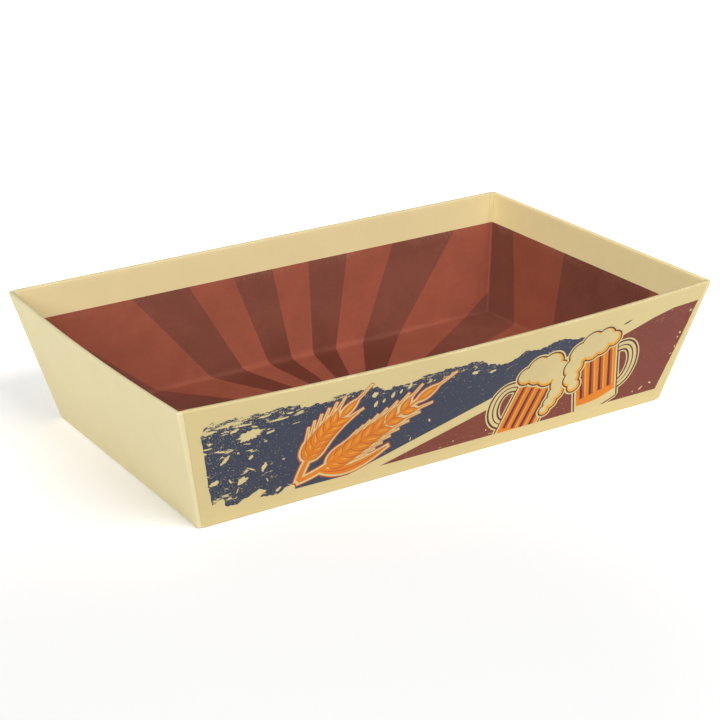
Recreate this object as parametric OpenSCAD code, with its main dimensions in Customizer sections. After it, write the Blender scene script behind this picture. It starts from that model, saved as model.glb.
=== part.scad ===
// Tapered serving tray of paper-covered greyboard.
// The origin is the middle of the underside, +X runs along the tray and +Y points to its back.

/* [Tray] */
// Length over the rim
top_l = 340; // [280:1:420]
// Width over the rim
top_w = 212; // [180:1:280]
// Height from the underside to the rim's corners
height = 76; // [60:1:100]
// Slope of the two short end walls, from upright
end_slope = 13.7; // [5:0.1:20]
// Slope of the two long walls, from upright
side_slope = 14.7; // [5:0.1:20]

/* [Relaxed walls] */
// How far the middle of the front rim has spread outwards
front_bow = 6; // [0:0.5:8]
// How far the middle of the left rim has spread outwards
left_bow = 2.5; // [0:0.5:5]
// Flat strips that each bowed wall is divided into
bow_steps = 24; // [8:2:40]
// Flat strips that each straight wall is divided into
flat_steps = 8; // [4:2:20]

/* [Boards] */
// Thickness of the greyboard
board_t = 2; // [1.5:0.1:3]

/* [Papers] */
// Thickness of the covering paper
paper_t = 0.2; // [0.15:0.05:0.3]
// Thickness of the printed liner sheet
liner_t = 0.25; // [0.15:0.05:0.3]
// Thickness of the kraft tape on the corners
stay_t = 0.15; // [0.1:0.05:0.2]
// Length of paper turned down inside the rim
turn_in = 25; // [20:1:30]
// Height of the plain band that shows above the liner
band_h = 18; // [8:1:22]
// Length of paper turned under the base
turn_under = 15; // [8:1:20]
// Length of the end papers lapped round each corner
lap_l = 15; // [8:1:20]
// Strip of end paper left showing beside each corner
cut_back = 3.5; // [1:0.5:6]
// Length of each leg of a corner tape
stay_leg = 20; // [12:1:30]
// Distance of a corner tape's top below the rim
stay_drop = 2; // [1:0.5:6]
// Margin left between the base sheet and the edge of the underside
sheet_gap = 3; // [1:0.5:6]

/* [Hidden] */

// The walls are numbered anticlockwise, seen from above
front = 0;
right = 1;
back = 2;
left = 3;

// Depths in from the outer face of the side papers, measured square to a wall
stay_d = 2*paper_t;
board_d = stay_d + stay_t;
board_back_d = board_d + board_t;
end_turn_in_d = board_back_d + paper_t;
liner_d = end_turn_in_d + paper_t;
inside_d = liner_d + liner_t;

// Heights of the layers, from the underside up
board_z = 3*paper_t;
floor_z = board_z + board_t;
rim_z = height - 2*paper_t;
liner_top_z = height - band_h;
turn_in_z = height - turn_in;
crease_z = floor_z + liner_t;
levels = [crease_z, height/4, height/2, turn_in_z, liner_top_z];

cream = "#e2d5a8";
grey = "#9b9184";
kraft = "#b98f5e";
red_brown = "#8a4637";

function bow_of(wall) = [front_bow, 0, 0, left_bow][wall];
function slope_of(wall) = wall % 2 == 0 ? side_slope : end_slope;
function half_l(z, d) = top_l/2 - (height - z)*tan(end_slope) - d/cos(end_slope);
function half_w(z, d) = top_w/2 - (height - z)*tan(side_slope) - d/cos(side_slope);

// Half the length of a wall, and its distance from the middle of the tray
function half_run(wall, z, d) = wall % 2 == 0 ? half_l(z, d) : half_w(z, d);
function distance(wall, z, d) = wall % 2 == 0 ? half_w(z, d) : half_l(z, d);

// Spread of a wall at a place along it: none at its crease and corners, most at mid rim
function spread(wall, along, z) = bow_of(wall)*max(0, (z - crease_z)/(height - crease_z))
    *max(0, 1 - pow(along/half_run(wall, z, inside_d), 2));

// A point on a wall; a spreading wall tips about its crease, so it also drops
function wall_point(wall, along, z, d) =
    let (s = spread(wall, along, z), out = distance(wall, z, d) + s, low = z - s*tan(slope_of(wall)))
    [[along, -out, low], [out, along, low], [-along, out, low], [-out, -along, low]][wall];

// A stop is a wall, a share of its half length from -1 to 1, and a further distance
function stops(wall, margin = 0) = let (n = bow_of(wall) > 0 ? bow_steps : flat_steps)
    [for (i = [0:n]) let (share = 2*i/n - 1) [wall, share, -share*margin]];
function stop_point(stop, z, d) = wall_point(stop[0], stop[1]*half_run(stop[0], z, d) + stop[2], z, d);

// Two triangles across four points, split on the first diagonal or the second
function quad(a, b, c, d, second) = second ? [[a, b, d], [b, c, d]] : [[a, b, c], [a, c, d]];

// Outline points up or down a wall at one depth, with the levels that all layers share
function up(low, high, d) =
    concat([[low, d]], [for (z = levels) if (z > low && z < high) [z, d]], [[high, d]]);
function down(high, low, d) =
    let (points = up(low, high, d)) [for (i = [len(points) - 1:-1:0]) points[i]];

// A solid whose outline of heights and depths follows a path of stops
module sweep(path, outline, closed = false) {
    n = len(path);
    m = len(outline);
    points = [for (stop = path, p = outline) stop_point(stop, p[0], p[1])];
    sides = [for (i = [0:closed ? n - 1 : n - 2], j = [0:m - 1])
        let (next = (i + 1) % n, k = (j + 1) % m)
        each quad(m*i + j, m*i + k, m*next + k, m*next + j, outline[k][0] < outline[j][0])];
    caps = closed ? [] : [[for (j = [m - 1:-1:0]) j], [for (j = [0:m - 1]) m*(n - 1) + j]];
    polyhedron(points, concat(sides, caps));
}

// An even layer between two depths and two heights
module layer(path, depths, heights, closed = false) {
    outline = concat(
        up(heights[0], heights[1], depths[0]),
        down(heights[1], heights[0], depths[1]));
    sweep(path, outline, closed);
}

// A level plate that meets the four walls at one depth
module plate(depth, heights) {
    corners = [for (z = heights, wall = [front, right, back, left]) stop_point([wall, 1, 0], z, depth)];
    edges = [for (k = [0:3]) let (next = (k + 1) % 4) [k, k + 4, next + 4, next]];
    polyhedron(corners, concat([[0, 1, 2, 3], [7, 6, 5, 4]], edges));
}

module wall_board(wall) {
    color(grey)
        layer(stops(wall), [board_d, board_back_d], [board_z, rim_z]);
}

// Kraft tape over the joint between one wall and the next
module corner_stay(wall) {
    next = (wall + 1) % 4;
    path = [[wall, 1, -stay_leg], [wall, 1, -stay_leg/2], [wall, 1, 0],
        [next, -1, stay_leg/2], [next, -1, stay_leg]];
    color(kraft)
        layer(path, [stay_d, board_d], [floor_z, rim_z - stay_drop]);
}

// A covering paper: under the base, up the wall, over the rim and down inside
module wrap(path, depth, turn_in_d, low, high) {
    outline = concat(
        up(low, high, depth),
        down(high, turn_in_z, turn_in_d),
        up(turn_in_z, high - paper_t, turn_in_d - paper_t),
        down(high - paper_t, low + paper_t, depth + paper_t),
        [[low + paper_t, depth + turn_under], [low, depth + turn_under]]);
    color(cream)
        sweep(path, outline);
}

// An end paper goes on first and laps round both corners
module end_wrap(wall) {
    before = (wall + 3) % 4;
    after = (wall + 1) % 4;
    first_lap = [[before, 1, -lap_l], [before, 1, -lap_l/2]];
    last_lap = [[after, -1, lap_l/2], [after, -1, lap_l]];
    wrap(concat(first_lap, stops(wall), last_lap), paper_t, end_turn_in_d, 2*paper_t, height - paper_t);
}

// A side paper covers the laps and stops short of both corners
module side_wrap(wall) {
    wrap(stops(wall, cut_back), 0, liner_d, paper_t, height);
}

module base_board() {
    color(grey)
        plate(board_back_d, [board_z, floor_z]);
}

module base_sheet() {
    color(cream)
        linear_extrude(paper_t)
            square(2*[half_l(0, 0) - sheet_gap, half_w(0, 0) - sheet_gap], center = true);
}

// One folded sheet that covers the floor and runs up all four walls
module liner() {
    path = [for (wall = [front, right, back, left]) each [for (stop = stops(wall)) if (stop[1] < 1) stop]];
    color(red_brown) {
        layer(path, [liner_d, inside_d], [floor_z, liner_top_z], closed = true);
        plate(liner_d, [floor_z, floor_z + liner_t]);
    }
}

base_board();
wall_board(front);  // front_board
wall_board(right);  // right_board
wall_board(back);  // back_board
wall_board(left);  // left_board
corner_stay(front);  // front_right_stay
corner_stay(right);  // back_right_stay
corner_stay(back);  // back_left_stay
corner_stay(left);  // front_left_stay
end_wrap(right);  // right_wrap
end_wrap(left);  // left_wrap
side_wrap(front);  // front_wrap
side_wrap(back);  // back_wrap
base_sheet();
liner();
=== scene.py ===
import bmesh
import bpy
import random
from math import cos, pi, radians, sin, tan
from mathutils import Matrix, Vector
from mathutils.geometry import delaunay_2d_cdt


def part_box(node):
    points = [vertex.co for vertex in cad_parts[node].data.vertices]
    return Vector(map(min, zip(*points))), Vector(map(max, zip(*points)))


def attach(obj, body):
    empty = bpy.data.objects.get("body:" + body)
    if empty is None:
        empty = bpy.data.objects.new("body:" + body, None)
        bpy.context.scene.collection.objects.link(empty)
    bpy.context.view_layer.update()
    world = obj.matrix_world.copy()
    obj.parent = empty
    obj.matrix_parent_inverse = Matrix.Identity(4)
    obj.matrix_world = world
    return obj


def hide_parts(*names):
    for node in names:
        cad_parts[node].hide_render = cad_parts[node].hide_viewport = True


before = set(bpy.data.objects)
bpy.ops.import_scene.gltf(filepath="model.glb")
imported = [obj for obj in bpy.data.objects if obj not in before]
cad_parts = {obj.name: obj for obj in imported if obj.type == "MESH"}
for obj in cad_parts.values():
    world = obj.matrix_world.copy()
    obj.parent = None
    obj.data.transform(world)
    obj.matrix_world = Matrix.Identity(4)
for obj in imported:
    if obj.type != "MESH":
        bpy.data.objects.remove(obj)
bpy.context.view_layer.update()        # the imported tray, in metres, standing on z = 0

mm = 0.001

tray = {
    "endSlope": radians(13.7),
    "sideSlope": radians(14.7),
    "paper": 0.2 * mm,          # covering paper, and the step between layers
    "tape": 0.15 * mm,
    "board": 2.0 * mm,
    "liner": 0.25 * mm,
    "outerCorner": 1.3 * mm,    # radius of the upright corners outside
    "innerCorner": 1.3 * mm,    # the same inside
    "cutBack": 3.5 * mm,        # side papers stop this far from a corner
    "lap": (13, 9, 5, 2.5, 1, 0),      # mm round a corner, where end papers lap it
    "turnIn": 25 * mm,
    "turnUnder": 15 * mm,
}
front, right, back, left = range(4)
cornerTurns = [k / 8 for k in range(1, 8)]      # shares of a corner's quarter turn

endLow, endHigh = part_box("right_wrap")
sideLow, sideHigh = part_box("back_wrap")
rimZ = sideHigh.z
halfL = endHigh.x + tray["paper"] * (1 / cos(tray["endSlope"]) + tan(tray["endSlope"]))
halfW = sideHigh.y
boardDepth = 2 * tray["paper"] + tray["tape"]
boardBack = boardDepth + tray["board"]
linerDepth = boardBack + 2 * tray["paper"]
insideDepth = linerDepth + tray["liner"]
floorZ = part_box("base_board")[1].z
creaseZ = floorZ + tray["liner"]
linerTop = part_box("liner")[1].z
frontBow = -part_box("front_wrap")[0].y - halfW
leftBow = -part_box("left_wrap")[0].x - endHigh.x


def bowOf(wall):
    return (frontBow, 0.0, 0.0, leftBow)[wall]


def slopeOf(wall):
    return tray["sideSlope"] if wall in (front, back) else tray["endSlope"]


def halfRun(wall, z, depth):
    if wall in (front, back):
        return halfL - (rimZ - z) * tan(tray["endSlope"]) - depth / cos(tray["endSlope"])
    return halfW - (rimZ - z) * tan(tray["sideSlope"]) - depth / cos(tray["sideSlope"])


def reach(wall, z, depth):     # distance of a wall from the middle of the tray
    return halfRun((wall + 1) % 4, z, depth)


def cornerRadius(depth):
    share = min(depth / insideDepth, 1.0)
    return tray["outerCorner"] + (tray["innerCorner"] - tray["outerCorner"]) * share


def placed(wall, along, out, z):
    return Vector([(along, -out, z), (out, along, z), (-along, out, z), (-out, -along, z)][wall])


def wallPoint(wall, along, z, depth):
    lean = max(0.0, (z - creaseZ) / (rimZ - creaseZ))
    straight = halfRun(wall, z, insideDepth) - tray["innerCorner"]
    spread = bowOf(wall) * lean * max(0.0, 1 - (along / straight) ** 2)
    return placed(wall, along, reach(wall, z, depth) + spread, z - spread * tan(slopeOf(wall)))


def stopPoint(stop, z, depth):
    wall, share, shift, turn = stop
    radius = cornerRadius(depth)
    straight = halfRun(wall, z, depth) - radius
    if turn is None:
        return wallPoint(wall, share * straight + shift, z, depth)
    along = straight + radius * sin(turn * pi / 2)
    out = reach(wall, z, depth) - radius + radius * cos(turn * pi / 2)
    return placed(wall, along, out, z)


def straightStops(wall, count, margin=0.0):     # along a wall, short of its corners
    shares = [2 * i / count - 1 for i in range(count + 1)]
    return [(wall, s, -s * margin, None) for s in shares]


def cornerStops(wall, turns):     # round the corner that follows a wall
    return [(wall, 1, 0, t) for t in turns]


def makePiece(name, points, faces, materials, stands, materialOf=None):
    mesh = bpy.data.meshes.new(name)
    mesh.from_pydata([tuple(p) for p in points], [], faces)
    mesh.validate()
    for material in materials:
        mesh.materials.append(material)
    if materialOf:
        mesh.polygons.foreach_set("material_index", materialOf)
    mesh.polygons.foreach_set("use_smooth", [True] * len(mesh.polygons))
    piece = bpy.data.objects.new(name, mesh)
    bpy.context.scene.collection.objects.link(piece)
    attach(piece, "root")
    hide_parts(stands)
    return piece


def thicken(piece, thickness):     # gives a sheet its paper thickness, away from its face
    solid = piece.modifiers.new("Thickness", "SOLIDIFY")
    solid.thickness = thickness
    solid.offset = -1
    solid.use_even_offset = True
    depsgraph = bpy.context.evaluated_depsgraph_get()
    flat = piece.data
    piece.data = bpy.data.meshes.new_from_object(piece.evaluated_get(depsgraph),
        preserve_all_data_layers=True, depsgraph=depsgraph)
    piece.modifiers.clear()
    piece.data.set_sharp_from_angle(angle=radians(50))     # keeps the paper's cut edges crisp
    bpy.data.meshes.remove(flat)
    return piece


def gridFaces(rows, columns, closed=False, skip=()):
    faces = []
    for i in range(columns if closed else columns - 1):
        n = (i + 1) % columns
        for j in range(rows - 1):
            if j not in skip:
                faces.append((i * rows + j, n * rows + j, n * rows + j + 1, i * rows + j + 1))
    return faces


def arcSteps(count):
    return [(sin(pi / 2 * k / count), 1 - cos(pi / 2 * k / count)) for k in range(count + 1)]


fold = {
    "rim": 1.15 * mm,       # roll of paper over the board's edge
    "crease": 0.45 * mm,    # fold at the foot of a wall
    "hold": 0.7 * mm,       # flat rows that keep a fold tight
    "arc": 5,
    "faceRows": 5,          # rows of faces up a wall
    "rimWearAndHighlightReach": 1.4 * mm,    # how far the rim's wear and painted highlight reach
}


def wrapOutline(depth, inner, low, high):     # heights and depths, from under the base to inside
    rim, crease, hold = fold["rim"], fold["crease"], fold["hold"]
    under = [(low, depth + tray["turnUnder"]), (low, depth + 5 * mm), (low, depth + crease + hold)]
    foot = [(low + crease * b, depth + crease * (1 - a)) for a, b in arcSteps(fold["arc"])]
    start, end = low + crease + hold, high - rim - hold
    rows = fold["faceRows"]
    face = [(start + (end - start) * k / rows, depth) for k in range(rows + 1)]
    outer = [(high - rim + rim * a, depth + rim * b) for a, b in arcSteps(fold["arc"])]
    over = [(high - rim * b, inner - rim * (1 - a)) for a, b in arcSteps(fold["arc"])]
    inside = [(high - tray["turnIn"] * k, inner) for k in (0.12, 0.35, 0.65, 1.0)]
    return under + foot + face + outer + over + inside, len(under) + len(foot)


# lighter towards the rim's roll: wear, and painted highlight
def rimWearAndHighlight(z):
    return max(0.0, 1 - abs(z - rimZ) / fold["rimWearAndHighlightReach"])


print("tray shape ready:", round(halfL * 2 / mm, 1), "x", round(halfW * 2 / mm, 1), "mm over the rim")


def shade(r, g, b):     # a colour given in steps of 0 to 255, made linear for the shaders
    def straighten(c):
        c = c / 255
        return c / 12.92 if c <= 0.04045 else ((c + 0.055) / 1.055) ** 2.4
    return (straighten(r), straighten(g), straighten(b), 1.0)


def addNode(tree, kind, inputs=None, **settings):
    made = tree.nodes.new("ShaderNode" + kind)
    for key, value in settings.items():
        setattr(made, key, value)
    for key, value in (inputs or {}).items():
        if isinstance(value, bpy.types.NodeSocket):
            tree.links.new(value, made.inputs[key])
        else:
            made.inputs[key].default_value = value
    return made


def calc(tree, operation, a, b=None, c=None, clamp=False):
    made = tree.nodes.new("ShaderNodeMath")
    made.operation = operation
    made.use_clamp = clamp
    for i, value in enumerate((a, b, c)):
        if isinstance(value, bpy.types.NodeSocket):
            tree.links.new(value, made.inputs[i])
        elif value is not None:
            made.inputs[i].default_value = value
    return made.outputs[0]


def blendColours(tree, share, a, b):
    made = tree.nodes.new("ShaderNodeMix")
    made.data_type = "RGBA"
    for key, value in ((0, share), (6, a), (7, b)):
        if isinstance(value, bpy.types.NodeSocket):
            tree.links.new(value, made.inputs[key])
        else:
            made.inputs[key].default_value = value
    return made.outputs[2]


def ramp(tree, value, low, high):     # 0 below low, 1 above high
    made = addNode(tree, "MapRange", {"Value": value, "From Min": low, "From Max": high})
    made.interpolation_type = "SMOOTHSTEP"
    return made.outputs["Result"]


def newGroup(name, inputs, outputs):
    group = bpy.data.node_groups.new(name, "ShaderNodeTree")
    for label, kind, value in inputs:
        socket = group.interface.new_socket(label, in_out="INPUT", socket_type="NodeSocket" + kind)
        if value is not None:
            socket.default_value = value
    for label, kind in outputs:
        group.interface.new_socket(label, in_out="OUTPUT", socket_type="NodeSocket" + kind)
    return group, group.nodes.new("NodeGroupInput"), group.nodes.new("NodeGroupOutput")


def placeGroup(tree, group, inputs=None):
    made = tree.nodes.new("ShaderNodeGroup")
    made.node_tree = group
    for key, value in (inputs or {}).items():
        if isinstance(value, bpy.types.NodeSocket):
            tree.links.new(value, made.inputs[key])
        else:
            made.inputs[key].default_value = value
    return made


def paperGrainGroup():     # tooth, fibres and cloudy patches of uncoated paper
    group, given, out = newGroup("paper grain",
        [("Tooth", "Float", 1300.0), ("Fibre", "Float", 340.0), ("Cloud", "Float", 38.0)],
        [("Height", "Float"), ("Mottle", "Float"), ("Fleck", "Float")])
    place = addNode(group, "TexCoord").outputs["Object"]
    tooth = addNode(group, "TexNoise", {"Vector": place, "Scale": given.outputs["Tooth"], "Detail": 4.0,
        "Roughness": 0.62}).outputs["Fac"]
    drawn = addNode(group, "Mapping", {"Vector": place, "Scale": (0.35, 1.0, 1.0)}).outputs["Vector"]
    fibre = addNode(group, "TexNoise", {"Vector": drawn, "Scale": given.outputs["Fibre"], "Detail": 6.0,
        "Roughness": 0.7, "Distortion": 0.8}).outputs["Fac"]
    cloud = addNode(group, "TexNoise", {"Vector": place, "Scale": given.outputs["Cloud"], "Detail": 5.0,
        "Roughness": 0.58}).outputs["Fac"]
    height = calc(group, "ADD", calc(group, "MULTIPLY", tooth, 0.55), calc(group, "MULTIPLY", fibre, 0.45))
    group.links.new(height, out.inputs["Height"])
    mottle = calc(group, "ADD", calc(group, "MULTIPLY", cloud, 0.7), calc(group, "MULTIPLY", fibre, 0.3))
    group.links.new(mottle, out.inputs["Mottle"])
    group.links.new(ramp(group, tooth, 0.66, 0.76), out.inputs["Fleck"])
    return group


def wornInkGroup():     # where ink has cracked, rubbed and missed the paper
    group, given, out = newGroup("worn ink",
        [("Wear", "Float", 0.0), ("Blotch", "Float", 260.0), ("Speck", "Float", 1500.0)],
        [("Ink", "Float")])
    place = addNode(group, "TexCoord").outputs["Object"]
    drawn = addNode(group, "Mapping", {"Vector": place, "Scale": (0.45, 1.0, 1.2)}).outputs["Vector"]
    blotch = addNode(group, "TexNoise", {"Vector": drawn, "Scale": given.outputs["Blotch"], "Detail": 9.0,
        "Roughness": 0.7, "Distortion": 0.5}).outputs["Fac"]
    speck = addNode(group, "TexNoise", {"Vector": place, "Scale": given.outputs["Speck"], "Detail": 2.0,
        "Roughness": 0.6}).outputs["Fac"]
    tornFrom = calc(group, "MULTIPLY_ADD", given.outputs["Wear"], 0.32, 0.235)
    torn = ramp(group, calc(group, "SUBTRACT", blotch, tornFrom), -0.012, 0.018)
    pittedFrom = calc(group, "MULTIPLY_ADD", given.outputs["Wear"], 0.2, 0.225)
    pitted = ramp(group, calc(group, "SUBTRACT", speck, pittedFrom), -0.01, 0.02)
    group.links.new(calc(group, "MULTIPLY", torn, pitted), out.inputs["Ink"])
    return group


def foldWearAndHighlightGroup():     # broken light line where paper is creased: worn fibres, and painted highlight along rims, corners and creases
    group, given, out = newGroup("fold wear and highlight",
        [("Fold", "Float", 0.0), ("Break", "Float", 620.0)],
        [("ScuffAndHighlight", "Float")])
    place = addNode(group, "TexCoord").outputs["Object"]
    broken = addNode(group, "TexNoise", {"Vector": place, "Scale": given.outputs["Break"], "Detail": 5.0,
        "Roughness": 0.7}).outputs["Fac"]
    uneven = addNode(group, "TexNoise", {"Vector": place, "Scale": 30.0, "Detail": 2.0}).outputs["Fac"]
    amount = calc(group, "MULTIPLY", ramp(group, broken, 0.38, 0.62), ramp(group, uneven, 0.3, 0.7))
    scuffAndHighlight = calc(group, "MULTIPLY", amount, given.outputs["Fold"], clamp=True)
    group.links.new(scuffAndHighlight, out.inputs["ScuffAndHighlight"])
    return group


grainGroup = paperGrainGroup()
inkGroup = wornInkGroup()
foldAndHighlightGroup = foldWearAndHighlightGroup()


def attribute(tree, name):
    return addNode(tree, "Attribute", attribute_name=name).outputs["Fac"]


def paperBase(name, finish):     # grain, mottle, and the fold wear and painted highlight that every paper shares
    material = bpy.data.materials.new(name)
    material.use_nodes = True
    tree = material.node_tree
    shader = tree.nodes["Principled BSDF"]
    shader.inputs["Specular IOR Level"].default_value = finish["gloss"]
    grain = placeGroup(tree, grainGroup, {"Tooth": finish["tooth"], "Cloud": finish["cloud"]})
    scuffAndHighlight = placeGroup(tree, foldAndHighlightGroup, {"Fold": attribute(tree, "fold")}).outputs["ScuffAndHighlight"]
    return material, tree, shader, grain, scuffAndHighlight


def paperFinish(tree, shader, grain, scuffAndHighlight, colour, finish, height=None):
    mottle = ramp(tree, grain.outputs["Mottle"], 0.34, 0.66)
    darker = addNode(tree, "HueSaturation", {"Color": colour, "Value": 1 - finish["mottle"]})
    clouded = blendColours(tree, mottle, darker.outputs["Color"], colour)
    fleck = calc(tree, "MULTIPLY", grain.outputs["Fleck"], finish["fleck"])
    flecked = blendColours(tree, fleck, clouded, finish["fibreColour"])
    # folds made lighter towards a pale colour: wear, and painted highlight
    rubAndHighlight = calc(tree, "MULTIPLY", scuffAndHighlight, finish["scuffAndHighlight"])
    rubbedAndHighlighted = blendColours(tree, rubAndHighlight, flecked, finish["scuffAndHighlightColour"])
    tree.links.new(rubbedAndHighlighted, shader.inputs["Base Color"])
    rough = calc(tree, "MULTIPLY_ADD", grain.outputs["Mottle"], 0.16, finish["rough"] - 0.08)
    tree.links.new(rough, shader.inputs["Roughness"])
    relief = grain.outputs["Height"] if height is None else height
    bump = addNode(tree, "Bump", {"Height": relief, "Strength": finish["bump"], "Distance": 0.12 * mm})
    tree.links.new(bump.outputs["Normal"], shader.inputs["Normal"])


creamPaper = {
    "colour": shade(221, 201, 150),
    "gloss": 0.25,
    "rough": 0.62,
    "tooth": 1300.0,
    "cloud": 30.0,
    "mottle": 0.035,
    "fleck": 0.10,
    "fibreColour": shade(196, 172, 118),
    # how much lighter the folds get, and towards which colour: wear, and painted highlight
    "scuffAndHighlight": 0.35,
    "scuffAndHighlightColour": shade(247, 238, 210),
    "bump": 0.22,
}


def makeCreamPaper(name, changes=None):
    finish = dict(creamPaper, **(changes or {}))
    material, tree, shader, grain, scuffAndHighlight = paperBase(name, finish)
    paperFinish(tree, shader, grain, scuffAndHighlight, finish["colour"], finish)
    return material


printInk = {
    "navy": shade(54, 59, 76),
    "maroon": shade(117, 56, 43),
    "orange": shade(207, 119, 22),
    "amber": shade(216, 152, 52),
    "burnt": shade(176, 78, 36),
    "brown": shade(86, 42, 34),
    # cream ink has the front paper's deeper tone, and so the same painted shade
    "cream": shade(202, 184, 132),
    "paper": shade(202, 184, 132),      # the front sheet is made a little deeper than the rest: painted shade on the front wall
    "film": {"gloss": 0.2, "rough": 0.55, "mottle": 0.10, "fleck": 0.05},
}


def makeInk(name, colour, wear):
    finish = dict(creamPaper, **printInk["film"])
    material, tree, shader, grain, scuffAndHighlight = paperBase(name, finish)
    worn = calc(tree, "MULTIPLY_ADD", attribute(tree, "wear"), 1.0, wear)
    ink = placeGroup(tree, inkGroup, {"Wear": worn}).outputs["Ink"]
    printed = blendColours(tree, ink, printInk["paper"], colour)
    film = calc(tree, "MULTIPLY_ADD", ink, 0.25, grain.outputs["Height"])     # ink stands a little proud
    paperFinish(tree, shader, grain, scuffAndHighlight, printed, finish, film)
    return material


linerPrint = {
    "light": shade(152, 81, 61),
    "dark": shade(125, 71, 57),
    "deep": shade(110, 56, 43),         # the dark rays near the middle
    "deepReach": (70 * mm, 120 * mm),
    "gloss": 0.12,
    "rough": 0.66,
    "tooth": 1100.0,
    "cloud": 42.0,
    "mottle": 0.15,
    "fleck": 0.3,
    "fibreColour": shade(176, 116, 92),
    # the liner's folds made lighter: wear, and painted highlight
    "scuffAndHighlight": 0.5,
    "scuffAndHighlightColour": shade(190, 140, 112),
    "bump": 0.3,
    "centre": (7.2 * mm, 2.6 * mm, 0.0),     # where the rays meet, on the flat sheet
    "firstRay": -60.0,                  # degrees from the back towards the right
    "rays": (10, 13.1, 11.3, 10.9, 10.9, 10.6, 11.1, 11.7, 12.7, 14.7, 13, 14.6, 23.4)
        + (192 / 17,) * 17,             # widths in degrees, dark and light in turn
}


def sunburstGroup(burst):     # light and dark rays over the flat sheet's own coordinates
    group, given, out = newGroup("sunburst", [("Sheet", "Vector", None)],
        [("Dark", "Float"), ("Outward", "Float")])
    sheet = given.outputs["Sheet"]
    moved = addNode(group, "VectorMath", {0: sheet, 1: burst["centre"]}, operation="SUBTRACT")
    part = addNode(group, "SeparateXYZ", {0: moved.outputs[0]})
    shake = addNode(group, "TexNoise", {"Vector": sheet, "Scale": 900.0, "Detail": 3.0}).outputs["Fac"]
    turn = calc(group, "ARCTAN2", part.outputs[0], part.outputs[1])
    turn = calc(group, "MULTIPLY_ADD", calc(group, "SUBTRACT", shake, 0.5), 0.008, turn)
    share = calc(group, "MULTIPLY_ADD", turn, 1 / (2 * pi), 1 - burst["firstRay"] / 360)
    share = calc(group, "FRACT", share)
    angle = burst["rays"][0]
    passed = calc(group, "GREATER_THAN", share, angle / 360)     # counts the edges passed
    for width in burst["rays"][1:-1]:
        angle += width
        passed = calc(group, "ADD", passed, calc(group, "GREATER_THAN", share, angle / 360))
    odd = calc(group, "FRACT", calc(group, "MULTIPLY", passed, 0.5))
    group.links.new(calc(group, "MULTIPLY_ADD", odd, -2.0, 1.0), out.inputs["Dark"])
    away = addNode(group, "VectorMath", {0: moved.outputs[0]}, operation="LENGTH").outputs["Value"]
    group.links.new(ramp(group, away, *burst["deepReach"]), out.inputs["Outward"])
    return group


def makeLinerPaper():
    finish = linerPrint
    material, tree, shader, grain, scuffAndHighlight = paperBase("sunburst liner paper", finish)
    sheet = addNode(tree, "UVMap", uv_map="sheet").outputs["UV"]
    burst = placeGroup(tree, sunburstGroup(finish), {"Sheet": sheet})
    dark = burst.outputs["Dark"]
    darkRayColour = blendColours(tree, burst.outputs["Outward"], finish["deep"], finish["dark"])
    ink = placeGroup(tree, inkGroup, {"Wear": 0.12, "Blotch": 300.0}).outputs["Ink"]
    printed = blendColours(tree, calc(tree, "MULTIPLY", dark, ink), finish["light"], darkRayColour)
    film = calc(tree, "MULTIPLY_ADD", dark, 0.1, grain.outputs["Height"])
    paperFinish(tree, shader, grain, scuffAndHighlight, printed, finish, film)
    return material


rawBoard = {
    "colour": shade(150, 141, 128),
    "gloss": 0.2,
    "rough": 0.85,
    "tooth": 900.0,
    "cloud": 60.0,
    "mottle": 0.14,
    "fleck": 0.35,
    "fibreColour": shade(92, 84, 74),
    "scuffAndHighlight": 0.0,
    "bump": 0.5,
}
kraftTape = {
    "colour": shade(178, 138, 92),
    "gloss": 0.35,
    "rough": 0.6,
    "mottle": 0.1,
    "fleck": 0.3,
    "fibreColour": shade(128, 92, 54),
}


paperMaterials = {
    "side": makeCreamPaper("cream side paper"),
    # the left end's paper is made paler and cooler than the rest: painted light on the left wall
    "left": makeCreamPaper("cream left paper painted lit", {"colour": shade(218, 205, 161)}),
    "right": makeCreamPaper("cream right paper", {"colour": shade(214, 197, 146)}),
    # the right end's inner band is made lighter than the rest: painted light on that band
    "litInner": makeCreamPaper("cream inner paper painted lit", {"colour": shade(242, 222, 165)}),
    "base": makeCreamPaper("cream base paper", {"scuffAndHighlight": 0.1}),
    "board": makeCreamPaper("raw greyboard", rawBoard),
    "tape": makeCreamPaper("kraft tape", kraftTape),
    "liner": makeLinerPaper(),
}
inkOrder = ["paper", "navy", "maroon", "cream", "burnt", "orange", "amber", "brown"]
inkWear = {"navy": 0.0, "maroon": -0.04, "cream": -1.0}     # the finer inks are less worn
inkMaterials = [makeCreamPaper("front paper with painted shade", {"colour": printInk["paper"]})]
for inkName in inkOrder[1:]:
    inkMaterials.append(makeInk(inkName + " ink", printInk[inkName], inkWear.get(inkName, -0.3)))
print("materials ready:", len(bpy.data.materials))


# The front's print, in millimetres: along from the middle, and up the wall from its foot
artwork = []      # (ink, outline) in painting order
lowestPrint = 2.5
longestEdge = 5      # longer ones are split, so that the print bends with the wall


def paint(ink, outline):
    artwork.append((ink, stepped([(x, max(y, lowestPrint)) for x, y in outline])))


def apart(ax, ay, bx, by):
    return ((bx - ax) ** 2 + (by - ay) ** 2) ** 0.5


def stepped(outline):
    points = []
    for (x0, y0), (x1, y1) in zip(outline, outline[1:] + outline[:1]):
        count = max(1, round(apart(x0, y0, x1, y1) / longestEdge))
        points += [(x0 + (x1 - x0) * k / count, y0 + (y1 - y0) * k / count) for k in range(count)]
    return points


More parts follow.
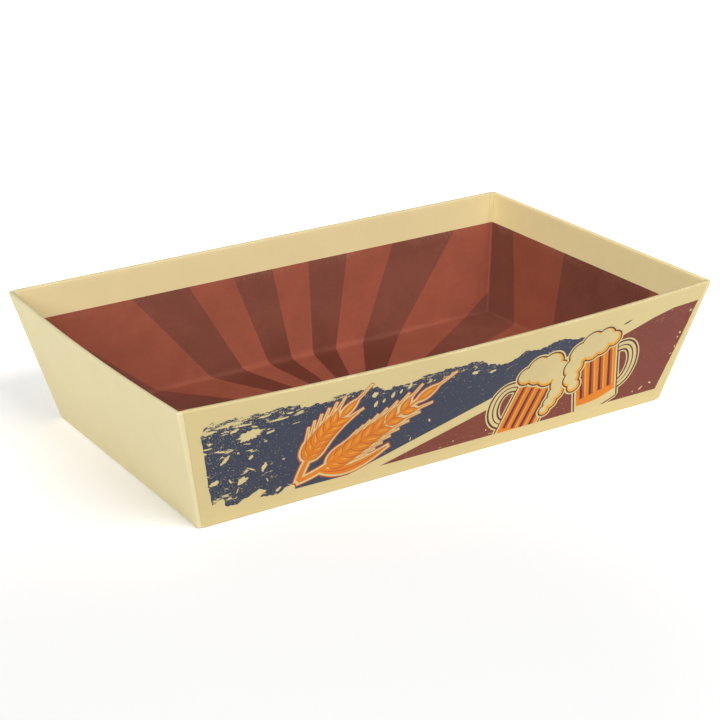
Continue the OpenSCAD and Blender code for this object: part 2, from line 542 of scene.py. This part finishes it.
def ragged(points, step, rough, seed):     # walks an outline and tears it into small steps
    pick = random.Random(seed)
    torn = []
    for (x0, y0), (x1, y1) in zip(points, points[1:]):
        count = max(1, round(apart(x0, y0, x1, y1) / step))
        for k in range(count):
            share = k / count
            torn.append((x0 + (x1 - x0) * share + pick.uniform(-rough, rough) * 0.6,
                y0 + (y1 - y0) * share + pick.uniform(-rough, rough)))
    return torn + [points[-1]]


def blot(x, y, width, height, lean, seed):     # a torn patch of missing ink
    pick = random.Random(seed)
    count = max(9, round(2.2 * (width + height)))
    outline = []
    for k in range(count):
        angle = 2 * pi * k / count
        far = pick.uniform(0.62, 1.08)
        outline.append((width / 2 * far * cos(angle), height / 2 * far * sin(angle)))
    return turnedTo(x, y, lean, outline)


def disc(x, y, radius, count=28):
    turns = [2 * pi * k / count for k in range(count)]
    return [(x + radius * cos(t), y + radius * sin(t)) for t in turns]


def turnedTo(x, y, angle, outline):     # an outline drawn level, turned and put in place
    return [(x + a * cos(angle) - b * sin(angle), y + a * sin(angle) + b * cos(angle)) for a, b in outline]


def grainShape(x, y, angle, length, width, grow=0.0, count=12):     # pointed at both ends
    rows = [k / count for k in range(count + 1)]
    tip, half = 1.4 * grow, width / 2 + grow
    side = [(r * (length + 2 * tip) - tip, half * sin(pi * r ** 0.85) ** 0.8) for r in rows]
    return turnedTo(x, y, angle, side + [(a, -b) for a, b in reversed(side[1:-1])])


def bend(points, share):     # a smooth curve through three or four handles
    while len(points) > 1:
        points = [(a[0] + (b[0] - a[0]) * share, a[1] + (b[1] - a[1]) * share)
            for a, b in zip(points, points[1:])]
    return points[0]


def ribbon(handles, halfWidths, grow=0.0, count=22):     # a band along a curve, swelling and thinning
    spots = [bend(handles, k / count) for k in range(count + 1)]
    sides = ([], [])
    for k, (x, y) in enumerate(spots):
        ahead, behind = spots[min(k + 1, count)], spots[max(k - 1, 0)]
        dx, dy = ahead[0] - behind[0], ahead[1] - behind[1]
        length = apart(*behind, *ahead)
        ends = grow if k == count else -grow if k == 0 else 0.0
        half = bend([(w, 0) for w in halfWidths], k / count)[0] + grow
        x, y = x + dx / length * ends, y + dy / length * ends
        sides[0].append((x - dy / length * half, y + dx / length * half))
        sides[1].append((x + dy / length * half, y - dx / length * half))
    return sides[0] + sides[1][::-1]


field = {
    "foot": 9.3,
    "head": 67.6,
    "navyLeft": [(-144.8, 14), (-148.2, 26), (-152, 45), (-155.6, 60.5), (-153.6, 67)],
    "navyHead": [(-150, 68), (-128, 67.4), (-102.5, 67.8), (-100, 65), (-85, 65.6), (-81, 67.6),
        (-58, 67.8), (-52, 65.2), (-34, 64.6), (-27, 67.4), (8, 67.8), (14, 63.4), (24, 60.8), (33, 62.4),
        (38, 66.4), (48, 64.2), (60, 67.2), (72, 65.4), (84, 62.4), (96, 61.9)],
    "stripeHigh": ((-64, 9.3), (17, 36.0)),
    "stripeLow": ((-44, 9.3), (17, 28.5)),
    "navyFoot": [(-96, 9.4), (-97.5, 13.6), (-102, 13.2), (-105, 9.6), (-117, 10.2), (-113.5, 14.8),
        (-118, 16.4), (-126, 12.4), (-131, 9.6), (-137, 10.6), (-138.6, 16.4), (-144.8, 14)],
    "maroonEnd": [(162.2, 67), (157, 48), (151, 28), (145.4, 9.3)],
    "maroonCorner": (12, 2, 0.8),     # back, over and down from where the stripe meets the head
}


def onLine(ends, along):
    (x0, y0), (x1, y1) = ends
    return y0 + (y1 - y0) * (along - x0) / (x1 - x0)


def paintFields():
    high, low = field["stripeHigh"], field["stripeLow"]
    top = ragged(field["navyHead"], 1.5, 0.75, 3)
    leftEdge = ragged(field["navyLeft"], 2.2, 0.35, 4)
    foot = ragged(field["navyFoot"], 1.6, 0.5, 5)
    lastAlong = field["navyHead"][-1][0]
    paint("navy", leftEdge[:-1] + top + [(lastAlong, onLine(high, lastAlong)), high[0]] + foot[:-1])
    edge = ragged(field["maroonEnd"], 2.5, 0.22, 6)
    (x0, y0), (x1, y1) = low
    crossing = x0 + (field["head"] - y0) * (x1 - x0) / (y1 - y0)
    backBy, overBy, downBy = field["maroonCorner"]
    turn = [(crossing - backBy, onLine(low, crossing - backBy)), (crossing + overBy, field["head"] - downBy)]
    paint("maroon", [low[0]] + turn + edge)


wornPatches = [     # along, up, width, height, lean
    (-127.5, 54.6, 14.5, 7.0, 0.22), (-117.0, 31.0, 3.2, 6.6, -0.25), (-128.8, 25.2, 6.4, 5.2, 0.3),
    (-145.0, 28.0, 6.4, 3.4, 0.35), (-140.2, 41.6, 3.0, 7.2, -0.75), (-124.6, 31.6, 6.6, 1.0, -0.55),
    (-136.0, 26.8, 1.0, 4.6, 0.55), (-131.0, 19.0, 1.0, 4.4, -0.2), (-114.0, 21.5, 0.9, 3.6, 0.5),
    (-151.0, 51.4, 6.6, 1.1, 0.05), (-144.0, 63.8, 9.0, 1.9, 0.08), (-133.0, 62.0, 12.0, 1.7, -0.05),
    (-121.0, 64.8, 8.0, 1.6, 0.1), (-112.0, 60.8, 12.0, 1.5, 0.04), (-137.0, 59.4, 6.0, 2.2, 0.3),
    (-150.0, 61.6, 6.4, 1.8, 0.2), (-126.0, 59.6, 5.0, 1.3, -0.2), (-116.5, 53.6, 5.6, 1.6, 0.2),
    (-106.5, 63.4, 4.6, 1.4, 0.0), (-56.8, 62.0, 4.6, 4.2, 0.2), (-50.0, 64.4, 7.0, 2.0, -0.2),
    (-125.5, 39.6, 3.4, 2.6, 0.9), (-133.4, 44.4, 1.8, 1.4, 0.2), (-106.5, 12.6, 4.2, 2.4, 0.7),
    (6.0, 60.0, 4.4, 2.4, -0.2), (18.0, 57.6, 5.0, 1.8, 0.2), (-8.0, 64.4, 5.4, 1.4, 0.1),
    (-58.0, 18.0, 1.0, 4.4, 0.1), (-27.5, 23.6, 1.0, 3.0, -0.1), (-17.4, 33.8, 1.6, 2.6, 0.5),
    (154.0, 47.0, 1.9, 2.0, 0.2), (153.0, 44.0, 2.0, 1.1, 0.6), (152.6, 37.4, 0.9, 2.0, 0.1),
    (150.6, 33.0, 1.4, 0.8, 0.1), (133.6, 13.2, 3.8, 1.2, 0.7), (139.8, 15.4, 2.4, 1.2, -0.6),
    (158.0, 61.4, 2.2, 0.9, 0.9), (128.0, 12.0, 1.2, 1.0, 0.0), (2.6, 12.8, 1.6, 1.0, 0.0),
    (24.0, 14.4, 1.0, 2.0, 0.3),
]

barley = {     # two ears of barley rising along the navy field
    "ears": (
        {"stem": [(-95, 14.6), (-93, 26), (-88, 42), (-71, 56)], "ear": (0.34, 0.9), "pairs": 6,
            "grain": (13.0, 6.4)},
        {"stem": [(-95, 14.6), (-80, 17), (-68, 26), (-23, 54)], "ear": (0.36, 0.955), "pairs": 8,
            "grain": (14.0, 6.8)}),
    "stemHalfWidths": (1.5, 1.5, 1.3, 0.8),
    "spread": 0.60,             # how far each grain leans out from the stem
    "awnSpread": 0.35,
    "awnLength": 0.95,
    "leaf": [(-82, 18), (-66, 10), (-55, 16), (-42, 23)],
    "leafHalfWidths": (1.2, 3.6, 2.8, 0.4),
    "layers": (("burnt", 2.0), ("cream", 1.25), ("orange", 0.0)),
}


def barleyGrains(ear):     # each is along, up, angle, angle of its awn, length and width
    stem, (first, last), pairs = ear["stem"], ear["ear"], ear["pairs"]
    length, width = ear["grain"]
    grains = []
    for k in range(pairs):
        share = first + (last - first) * k / pairs
        x, y = bend(stem, share)
        xa, ya = bend(stem, share + 0.01)
        way = Vector((xa - x, ya - y)).angle_signed(Vector((1, 0)))
        size = 1 - 0.26 * (k / pairs) ** 1.5
        for side in (1, -1):
            grains.append((x, y, way + side * barley["spread"], way + side * barley["awnSpread"],
                length * size, width * size))
    x, y = bend(stem, last)
    return grains + [(x, y, way, way, length * 1.05, width * 0.8)]


def paintBarley():
    ears = [(ear["stem"], barleyGrains(ear)) for ear in barley["ears"]]
    for ink, grow in barley["layers"]:
        paint(ink, ribbon(barley["leaf"], barley["leafHalfWidths"], grow))
        for stem, grains in ears:
            paint(ink, ribbon(stem, barley["stemHalfWidths"], grow))
            for x, y, angle, awnAngle, length, width in grains:
                tip = (x + cos(angle) * length * 0.8, y + sin(angle) * length * 0.8)
                far = length * barley["awnLength"]
                awn = [tip, (tip[0] + cos(awnAngle) * far, tip[1] + sin(awnAngle) * far)]
                paint(ink, ribbon(awn, (0.62, 0.12), grow * 0.6, 4))
                paint(ink, grainShape(x, y, angle, length, width, grow))
    for stem, grains in ears:
        for x, y, angle, awnAngle, length, width in grains:     # the shaded edge and the split of each grain
            paint("burnt", grainShape(x, y, angle, length, width))
            paint("orange", grainShape(x, y, angle, length * 0.97, width - 1.2))
            paint("amber", grainShape(x + cos(angle) * length * 0.25, y + sin(angle) * length * 0.25,
                angle, length * 0.5, 1.0))
    paint("burnt", ribbon(barley["leaf"], [w * 0.12 for w in barley["leafHalfWidths"]]))


marks = {
    "count": 5,
    "first": (-55.5, 53.4),
    "step": (4.9, 1.75),
    "angle": 1.3,
    "sizes": ((4.4, 2.1), (3.0, 1.5)),          # length and width of every other grain
    "splash": (106.5, 65.2, 0.3, 6.5, 1.2),     # the last of the navy, beside the right mug
}


def paintMarks():     # a row of small plain grains between the ears
    (firstX, firstY), (stepX, stepY) = marks["first"], marks["step"]
    for k in range(marks["count"]):
        x, y = firstX + stepX * k, firstY + stepY * k
        paint("cream", grainShape(x, y, marks["angle"], *marks["sizes"][k % 2]))
    paint("navy", grainShape(*marks["splash"]))


mugs = [     # "handle" is its side, "glass" the thickness of the foot, and "foam" discs with their radii
    {"foot": (44.5, 4.6), "lean": -0.27, "tall": 38.5, "half": 14.2, "handle": -1, "glass": 0.0,
        "foam": [(-12, 40.5, 5.6), (-6.5, 46.5, 6.8), (2.5, 48.5, 7.6), (11, 44.0, 6.8), (4, 41, 7.0),
            (-4, 41, 6.0), (15.5, 36.0, 5.8), (16.5, 29.0, 5.0), (15.6, 22.5, 4.2), (14.4, 17.0, 3.2)]},
    {"foot": (100.8, 10.6), "lean": 0.235, "tall": 42.0, "half": 14.6, "handle": 1, "glass": 5.0,
        "foam": [(12, 45.0, 4.8), (6, 48.5, 6.6), (-3, 49.5, 7.4), (-11, 46.0, 7.2), (-3, 43.5, 6.0),
            (4, 43.0, 5.0), (-15.6, 38.0, 6.4), (-17.2, 30.0, 5.2), (-15.6, 23.5, 4.0)]},
]
mugLines = {
    "rims": (("cream", 2.1), ("brown", 1.2)),          # how far each stands out round a mug
    "handle": ((0, 0.86), (17, 0.92), (13, 0.24), (0, 0.2)),     # out from the side, and share of the height
    "handleHalfWidths": (2.3, 2.7, 2.7, 2.3),
    "taper": 0.97,                                     # foot's width against the mouth's
    "sag": 2.2,                                        # how far the foot's curve drops
    "flutes": 4,
    "foam": (("cream", 2.0, 0.0), ("brown", 1.0, 0.0), ("amber", 0.1, 0.0), ("cream", -0.9, 0.75)),
}


def paintMug(mug):
    tall, half, hand = mug["tall"], mug["half"], mug["handle"]
    footHalf = half * mugLines["taper"]

    def turned(outline):
        return turnedTo(*mug["foot"], mug["lean"], outline)

    def body(grow, low=0.0):
        curve = [(footHalf * (k / 5 - 1), low - grow - mugLines["sag"] * sin(pi * k / 10)) for k in range(11)]
        mouth = [(half + grow, tall), (-half - grow, tall)]
        return turned([(-footHalf - grow, low)] + curve + [(footHalf + grow, low)] + mouth)

    grip = [(hand * (half + out), tall * share) for out, share in mugLines["handle"]]
    paint("maroon", turned([(hand * half * 0.8, tall * 0.2)] + [bend(grip, k / 16) for k in range(17)]))
    for ink, grow in mugLines["rims"]:
        paint(ink, turned(ribbon(grip, mugLines["handleHalfWidths"], grow)))
        paint(ink, body(grow))
    paint("cream", turned(ribbon(grip, mugLines["handleHalfWidths"])))
    paint("brown", turned(ribbon(grip, (0.35, 0.5, 0.5, 0.3), 0, 16)))
    paint("brown", body(1.0))
    paint("cream", body(0.2))
    paint("orange", body(-0.9, mug["glass"]))
    for k in range(mugLines["flutes"]):     # flutes pressed into the glass
        across = (k - (mugLines["flutes"] - 1) / 2) * half * 0.44
        low, high = mug["glass"] + 4.5, tall * 0.93
        flute = [(across * mugLines["taper"], low), (across, (low + high) / 2), (across, high)]
        paint("burnt", turned(ribbon(flute, (1.7, 1.5, 1.2), 0, 10)))
        paint("brown", turned(ribbon([(a - 0.5, b + 0.6) for a, b in flute], (0.8, 0.75, 0.5), 0, 10)))
        paint("amber", turned(ribbon([(a + 2.3, b + 1) for a, b in flute], (0.35, 0.5, 0.3), 0, 8)))
    for ink, grow, shift in mugLines["foam"]:
        for a, b, radius in mug["foam"]:
            x, y = turned([(a, b)])[0]
            highest = field["head"] + 1.5 - radius * 0.3
            paint(ink, disc(x - shift, min(y + shift, highest), radius + grow))


margins = [     # plain edges over everything: left, right, foot and head
    (-150, 150, 1.5, field["foot"] - 0.1),
    (30, 130, 69.4, 73.5),
]


def paintMargins():
    for x0, x1, y0, y1 in margins:
        paint("paper", [(x0, y0), (x1, y0), (x1, y1), (x0, y1)])


wearing = {     # where wear starts, how far on it is full, and its strength
    "even": 0.3,
    "head": (57, 12, 0.42),
    "mugHead": (57, 12, 0.15),
    "mugsFrom": 40,
    "left": (-92, 50, 0.24),
    "foot": (14, 8, 0.15),
}


def wearFrom(past, full, strength):
    return max(0.0, min(1.0, past / full)) * strength


def wearAt(along, up):     # the print is most worn along its head and at its left end
    start, full, strength = wearing["head" if along < wearing["mugsFrom"] else "mugHead"]
    worn = wearing["even"] + wearFrom(up - start, full, strength)
    start, full, strength = wearing["left"]
    worn += wearFrom(start - along, full, strength)
    start, full, strength = wearing["foot"]
    return min(1.0, worn + wearFrom(start - up, full, strength))


def printedPatch(low, high, stops):     # the flat print cut into faces, each with its ink
    alongs = [[stopPoint(stop, z * mm, 0.0).x / mm for stop in stops] for z in (low, high)]
    steep = cos(tray["sideSlope"])
    spots = []
    for k in range(10):     # a loose grid keeps the plain paper on the wall's curve
        share = k / 9
        z = low + (high - low) * share
        spots += [Vector((a + (b - a) * share, z / steep)) for a, b in zip(*alongs)]
    outlines = []
    for ink, outline in artwork:
        start = len(spots)
        spots.extend(Vector(p) for p in outline)
        outlines.append(list(range(start, len(spots))))
    corners, _, faces, *_ = delaunay_2d_cdt(spots, [], outlines, 0, 1e-4, True)
    points = [wallPoint(front, x * mm, y * steep * mm, 0.0) for x, y in corners]
    wear = [wearAt(x, y) for x, y in corners]
    boxes = [(min(x for x, y in p), max(x for x, y in p), min(y for x, y in p), max(y for x, y in p))
        for ink, p in artwork]
    inks = []
    for face in faces:
        x, y = sum((corners[k] for k in face), Vector((0, 0))) / len(face)
        inks.append(inkOrder.index(inkAt(x, y, boxes)))
    return points, faces, inks, wear


def inkAt(x, y, boxes):     # the ink laid down last at a place
    for (ink, outline), (x0, x1, y0, y1) in zip(reversed(artwork), reversed(boxes)):
        if x0 < x < x1 and y0 < y < y1 and holds(outline, x, y):
            return ink
    return "paper"


def holds(outline, x, y):
    turns = 0
    for (ax, ay), (bx, by) in zip(outline, outline[1:] + outline[:1]):
        if (ay > y) != (by > y) and x < ax + (bx - ax) * (y - ay) / (by - ay):
            turns += 1 if by > ay else -1
    return turns != 0


def setValues(piece, name, values):     # one number at each point, for the shaders
    layer = piece.data.attributes.new(name, "FLOAT", "POINT")
    layer.data.foreach_set("value", values)


def makeSideWrap(name, wall, printed):
    outline, faceStart = wrapOutline(0.0, linerDepth, tray["paper"], rimZ)
    stops = straightStops(wall, 48, tray["cutBack"] - tray["outerCorner"])
    rows = len(outline)
    points = [stopPoint(stop, z, depth) for stop in stops for z, depth in outline]
    # lighter along the rim: wear, and painted highlight
    folds = [rimWearAndHighlight(z) for stop in stops for z, depth in outline]
    wear = [0.0] * len(points)
    faceEnd = faceStart + fold["faceRows"]
    faces = gridFaces(rows, len(stops), skip=range(faceStart, faceEnd) if printed else ())
    inks = [0] * len(faces)
    if printed:
        low, high = outline[faceStart][0] / mm, outline[faceEnd][0] / mm
        newPoints, newFaces, newInks, newWear = printedPatch(low, high, stops)
        faces += [tuple(len(points) + k for k in face) for face in newFaces]
        points += newPoints
        inks += newInks
        wear += newWear
        folds += [0.0] * len(newPoints)
    piece = makePiece(name, points, faces, inkMaterials if printed else [paperMaterials["side"]],
        name.replace("_sheet", "_wrap"), inks)
    setValues(piece, "wear", wear)
    setValues(piece, "fold", folds)
    weld(piece)
    return thicken(piece, tray["paper"] * 0.8)


def weld(piece):     # joins points that lie together and drops the unused ones
    work = bmesh.new()
    work.from_mesh(piece.data)
    bmesh.ops.remove_doubles(work, verts=work.verts, dist=0.004 * mm)
    bmesh.ops.delete(work, geom=[v for v in work.verts if not v.link_faces], context="VERTS")
    work.to_mesh(piece.data)
    work.free()


def makeEndWrap(name, wall, outside, inside):
    step = tray["paper"]
    outline, faceStart = wrapOutline(step, boardBack + step, 2 * step, rimZ - step)
    before, after = (wall + 3) % 4, (wall + 1) % 4
    firstLap = [(before, 1, -x * mm, None) for x in tray["lap"]]
    lastLap = [(after, -1, x * mm, None) for x in reversed(tray["lap"])]
    stops = firstLap + cornerStops(before, cornerTurns) + straightStops(wall, 32)
    stops += cornerStops(wall, cornerTurns) + lastLap
    points = [stopPoint(stop, z, depth) for stop in stops for z, depth in outline]
    innerRows = [z > rimZ / 2 and depth > boardDepth for z, depth in outline[:-1]]
    shown = [int(row and stop[0] == wall and stop[3] is None) for stop in stops[:-1] for row in innerRows]
    piece = makePiece(name, points, gridFaces(len(outline), len(stops)), [outside, inside],
        name.replace("_sheet", "_wrap"), shown)
    # lighter along the rim and round the upright corners: wear, and painted highlight
    setValues(piece, "fold", [rimWearAndHighlight(z) * 0.8 + (0.15 if stop[3] else 0.0)
        for stop in stops for z, depth in outline])
    return thicken(piece, step * 0.8)


liner = {
    "cornerCrease": 1.3 * mm,     # how round the floor fold is at the corners
    "middleCrease": 3.2 * mm,     # and half way along a wall, where the sheet stands off
    "swell": 0.35 * mm,           # gentle waves in the floor
    "drift": (9.2 * mm, 14.2 * mm),   # how far the floor's print has slipped at the middle
    "facing": 0.05 * mm,
}


def makeLiner():
    facing = insideDepth - liner["facing"]
    stops = []
    for wall in (front, right, back, left):
        stops += straightStops(wall, 40) + cornerStops(wall, cornerTurns)
    rows = len(linerOutline(facing, 0.0))
    points, places = [], []
    for stop in stops:
        wall, share, shift, turn = stop
        for z, depth, onWall in linerOutline(facing, 0.0 if turn is not None else 1 - share ** 2):
            points.append(stopPoint(stop, z, depth))
            places.append((stop, z, depth, onWall))
    faces = [tuple(reversed(face)) for face in gridFaces(rows, len(stops), closed=True)]
    faces.append(tuple(rows * i for i in range(len(stops))))
    for spot in points:
        wave = sin(spot.x * 21 + 0.6) * sin(spot.y * 34 + 1.1)
        inward = max(0.0, 1 - abs(spot.z - creaseZ) / (0.3 * mm))
        spot.z += liner["swell"] * (0.5 + 0.5 * wave) * inward
    piece = makePiece("sunburst_liner", points, faces, [paperMaterials["liner"]], "liner")
    setValues(piece, "fold", [foldOfLiner(place) for place in places])
    flattenLiner(piece, stops, places, rows)
    return thicken(piece, tray["liner"] * 0.7)


def linerOutline(facing, bulge):     # from the middle of the floor out to the crease and up the wall
    radius = liner["cornerCrease"] + (liner["middleCrease"] - liner["cornerCrease"]) * bulge
    inner = halfRun(right, creaseZ, 0.0) * cos(tray["sideSlope"])
    floor = [(creaseZ, inner - 0.6 * mm - (inner - facing - 9 * mm) * k / 7, False) for k in range(8)]
    crease = [(creaseZ + radius * b, facing + radius * (1 - a), True) for a, b in arcSteps(8)]
    start = creaseZ + liner["middleCrease"] + 1 * mm
    wall = [(start + (linerTop - start) * k / 9, facing, True) for k in range(10)]
    return floor + crease + wall


# how much lighter the liner is along its floor crease and top edge: wear, and painted highlight along the
# crease
def foldOfLiner(place):
    stop, z, depth, onWall = place
    crease = max(0.0, 1 - abs(z - creaseZ - 0.6 * mm) / (1.6 * mm)) if onWall else 0.0
    top = max(0.0, 1 - (linerTop - z) / (0.8 * mm)) * 0.5
    return max(crease * 0.15, top)


def sheetPlace(wall, stop, z, depth, onWall):     # where a point lay before the sheet was folded
    radius = cornerRadius(depth)
    straight = halfRun(wall, z, depth) - radius
    if stop[3] is None:
        along = stop[1] * straight
    elif stop[0] == wall:
        along = straight + radius * stop[3] * pi / 2
    else:
        along = -straight - radius * (1 - stop[3]) * pi / 2
    out = reach(wall, creaseZ, insideDepth)
    if onWall and z > creaseZ + 1 * mm:
        out += (z - creaseZ) / cos(slopeOf(wall))
    else:
        out = min(out, stopPoint((wall, 0, 0, None), z, depth).xy.length)
    return placed(wall, along, out, 0.0).xy


def flattenLiner(piece, stops, places, rows):
    layer = piece.data.uv_layers.new(name="sheet")
    for face in piece.data.polygons:
        indexes = list(face.vertices)
        floorCap = len(indexes) > 4
        wall = wallOfFace([stops[k // rows] for k in indexes])
        for loop, k in zip(face.loop_indices, indexes):
            stop, z, depth, onWall = places[k]
            if floorCap or not onWall:
                layer.data[loop].uv = driftedPlace(piece.data.vertices[k].co)
            else:
                layer.data[loop].uv = sheetPlace(wall, stop, z, depth, onWall)


def driftedPlace(spot):     # the print has slipped on the floor but meets the walls' print at the fold
    acrossShare = abs(spot.x) / reach(right, creaseZ, insideDepth)
    share = max(0.0, 1 - max(acrossShare, abs(spot.y) / reach(back, creaseZ, insideDepth)))
    return spot.x + liner["drift"][0] * share, spot.y + liner["drift"][1] * share


def wallOfFace(stops):     # a corner is shared half and half by its two walls
    straight = [s[0] for s in stops if s[3] is None]
    turns = [s[3] for s in stops if s[3] is not None]
    if not turns:
        return straight[0]
    wall = next(s[0] for s in stops if s[3] is not None)
    nearer = sum(turns) / len(turns) < 0.5 or (straight and straight[0] == wall)
    return wall if nearer else (wall + 1) % 4


def sweptSolid(name, stops, outline, material, stands):
    rows = len(outline)
    points = [stopPoint(stop, z, depth) for stop in stops for z, depth in outline]
    faces = []
    for i in range(len(stops) - 1):
        for j in range(rows):
            k = (j + 1) % rows
            faces.append((i * rows + j, (i + 1) * rows + j, (i + 1) * rows + k, i * rows + k))
    faces.append(tuple(range(rows)))
    faces.append(tuple(rows * (len(stops) - 1) + j for j in reversed(range(rows))))
    piece = makePiece(name, points, faces, [material], stands)
    piece.data.polygons.foreach_set("use_smooth", [False] * len(piece.data.polygons))
    return piece


boards = {
    "ease": 0.4 * mm,     # taken off the cut edges
    "columns": 24,
}


def makeBoard(name, wall):
    ease = boards["ease"]
    low, high = 3 * tray["paper"], rimZ - 2 * tray["paper"]
    rise = [low + ease + (high - low - 2 * ease) * k / 4 for k in range(5)]
    outline = [(low, boardDepth + ease)] + [(z, boardDepth) for z in rise] + [(high, boardDepth + ease),
        (high, boardBack - ease)] + [(z, boardBack) for z in reversed(rise)] + [(low, boardBack - ease)]
    turns = cornerTurns[:4]     # half way round, to the mitre
    stops = cornerStops((wall + 3) % 4, [1 - t for t in reversed(turns)])
    stops += straightStops(wall, boards["columns"]) + cornerStops(wall, turns)
    stands = name.replace("_panel", "_board")
    return sweptSolid(name, stops, outline, paperMaterials["board"], stands)


stay = {
    "leg": (18, 12, 6, 2, 0),     # mm back from the corner
    "drop": 2.4 * mm,             # below the rim
    "slack": 0.02 * mm,           # air between the tape and the layers beside it
}


def makeStay(name, wall):
    legs = [x * mm for x in stay["leg"]]
    stops = [(wall, 1, -x, None) for x in legs] + cornerStops(wall, cornerTurns)
    stops += [((wall + 1) % 4, -1, x, None) for x in reversed(legs)]
    low, high = floorZ, rimZ - stay["drop"]
    inner, outer = boardDepth - stay["slack"], 2 * tray["paper"] + stay["slack"]
    rise = [low + (high - low) * k / 5 for k in range(6)]
    outline = [(z, outer) for z in rise] + [(z, inner) for z in reversed(rise)]
    stands = name.replace("_tape", "_stay")
    return sweptSolid(name, stops, outline, paperMaterials["tape"], stands)


paintFields()
for k, (x, y, width, height, lean) in enumerate(wornPatches):
    paint("paper", blot(x, y, width, height, lean, k))
paintBarley()
paintMarks()
for mug in mugs:
    paintMug(mug)
paintMargins()
print("print laid out:", len(artwork), "outlines")

makeSideWrap("front_sheet", front, True)
makeSideWrap("back_sheet", back, False)
# the right end's inner band takes the lighter paper: painted light
makeEndWrap("right_sheet", right, paperMaterials["right"], paperMaterials["litInner"])
makeEndWrap("left_sheet", left, paperMaterials["left"], paperMaterials["left"])
print("covering papers folded")
makeLiner()
print("liner folded")
for wall, name in enumerate(("front_panel", "right_panel", "back_panel", "left_panel")):
    makeBoard(name, wall)
for wall, name in enumerate(("front_right_tape", "back_right_tape", "back_left_tape", "front_left_tape")):
    makeStay(name, wall)
for nodeName, material in (("base_board", "board"), ("base_sheet", "base")):
    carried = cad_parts[nodeName]
    carried.data.materials.clear()
    carried.data.materials.append(paperMaterials[material])
print("boards and tapes in place")


studio = {
    "floor": shade(250, 250, 250),
    "half": 4.0,              # half the table's side
    "glow": 0.42,             # the floor itself glows, painted light that whitens the table and the tray's shadows on it; nil near its near left side and growing away from it
    "glowFrom": (-0.2, -0.26, 0.0),
    "glowReach": (0.13, 0.52),
    "sky": 0.14,
    "boxes": {                # place, aim, width and power of each softbox
        "left": ((-4.4, -2.2, 3.3), (0.0, 0.0, 0.0), 3.2, 225.0),
        "front": ((0.8, -4.0, 3.9), (0.0, 0.0, 0.0), 3.2, 235.0),
        "back": ((0.2, 0.5, 0.85), (0.2, 3.2, 0.0), 1.4, 10.0),
    },
}


def makeStudio():
    half = studio["half"]
    mesh = bpy.data.meshes.new("studio_floor")
    corners = [(-half, -half, 0), (half, -half, 0), (half, half, 0), (-half, half, 0)]
    mesh.from_pydata(corners, [], [(0, 1, 2, 3)])
    floor = bpy.data.objects.new("studio_floor", mesh)
    bpy.context.scene.collection.objects.link(floor)
    material = bpy.data.materials.new("studio floor")
    material.use_nodes = True
    tree = material.node_tree
    shader = tree.nodes["Principled BSDF"]
    shader.inputs["Base Color"].default_value = studio["floor"]
    shader.inputs["Roughness"].default_value = 0.9
    shader.inputs["Specular IOR Level"].default_value = 0.0
    shader.inputs["Emission Strength"].default_value = studio["glow"]
    place = addNode(tree, "TexCoord").outputs["Object"]
    far = addNode(tree, "VectorMath", {0: place, 1: studio["glowFrom"]}, operation="DISTANCE")
    glow = ramp(tree, far.outputs["Value"], *studio["glowReach"])
    tree.links.new(glow, shader.inputs["Emission Color"])
    mesh.materials.append(material)
    world = bpy.data.worlds.new("studio")
    world.use_nodes = True
    world.node_tree.nodes["Background"].inputs["Color"].default_value = (1, 1, 1, 1)
    world.node_tree.nodes["Background"].inputs["Strength"].default_value = studio["sky"]
    bpy.context.scene.world = world
    for name, (place, aim, width, power) in studio["boxes"].items():
        light = bpy.data.lights.new(name + " softbox", "AREA")
        light.shape = "SQUARE"
        light.size = width
        light.energy = power
        lamp = bpy.data.objects.new(name + " softbox", light)
        lamp.location = place
        lamp.rotation_euler = (Vector(aim) - Vector(place)).to_track_quat("-Z", "Y").to_euler()
        bpy.context.scene.collection.objects.link(lamp)


view = {
    "azimuth": radians(-31.55),
    "elevation": radians(21.84),
    "roll": radians(-1.0),
    "distance": 1.1425,
    "aimUp": 0.0282,
    "aimAcross": -0.0004,
    "lens": 98.25,
}


def makeCamera():
    a, e, r = view["azimuth"], view["elevation"], view["roll"]
    away = Vector((sin(a) * cos(e), -cos(a) * cos(e), sin(e)))
    level = Vector((cos(a), sin(a), 0))
    upright = away.cross(level)
    camera = bpy.data.cameras.new("camera")
    camera.lens = view["lens"]
    camera.clip_start = 0.01
    holder = bpy.data.objects.new("camera", camera)
    side, up = level * cos(r) + upright * sin(r), upright * cos(r) - level * sin(r)
    turn = Matrix((side, up, away)).transposed()
    place = away * view["distance"] + level * view["aimAcross"] + upright * view["aimUp"]
    holder.matrix_world = Matrix.Translation(place) @ turn.to_4x4()
    bpy.context.scene.collection.objects.link(holder)
    bpy.context.scene.camera = holder


makeStudio()
makeCamera()
bpy.context.scene.view_settings.view_transform = "Standard"
print("studio and camera set")
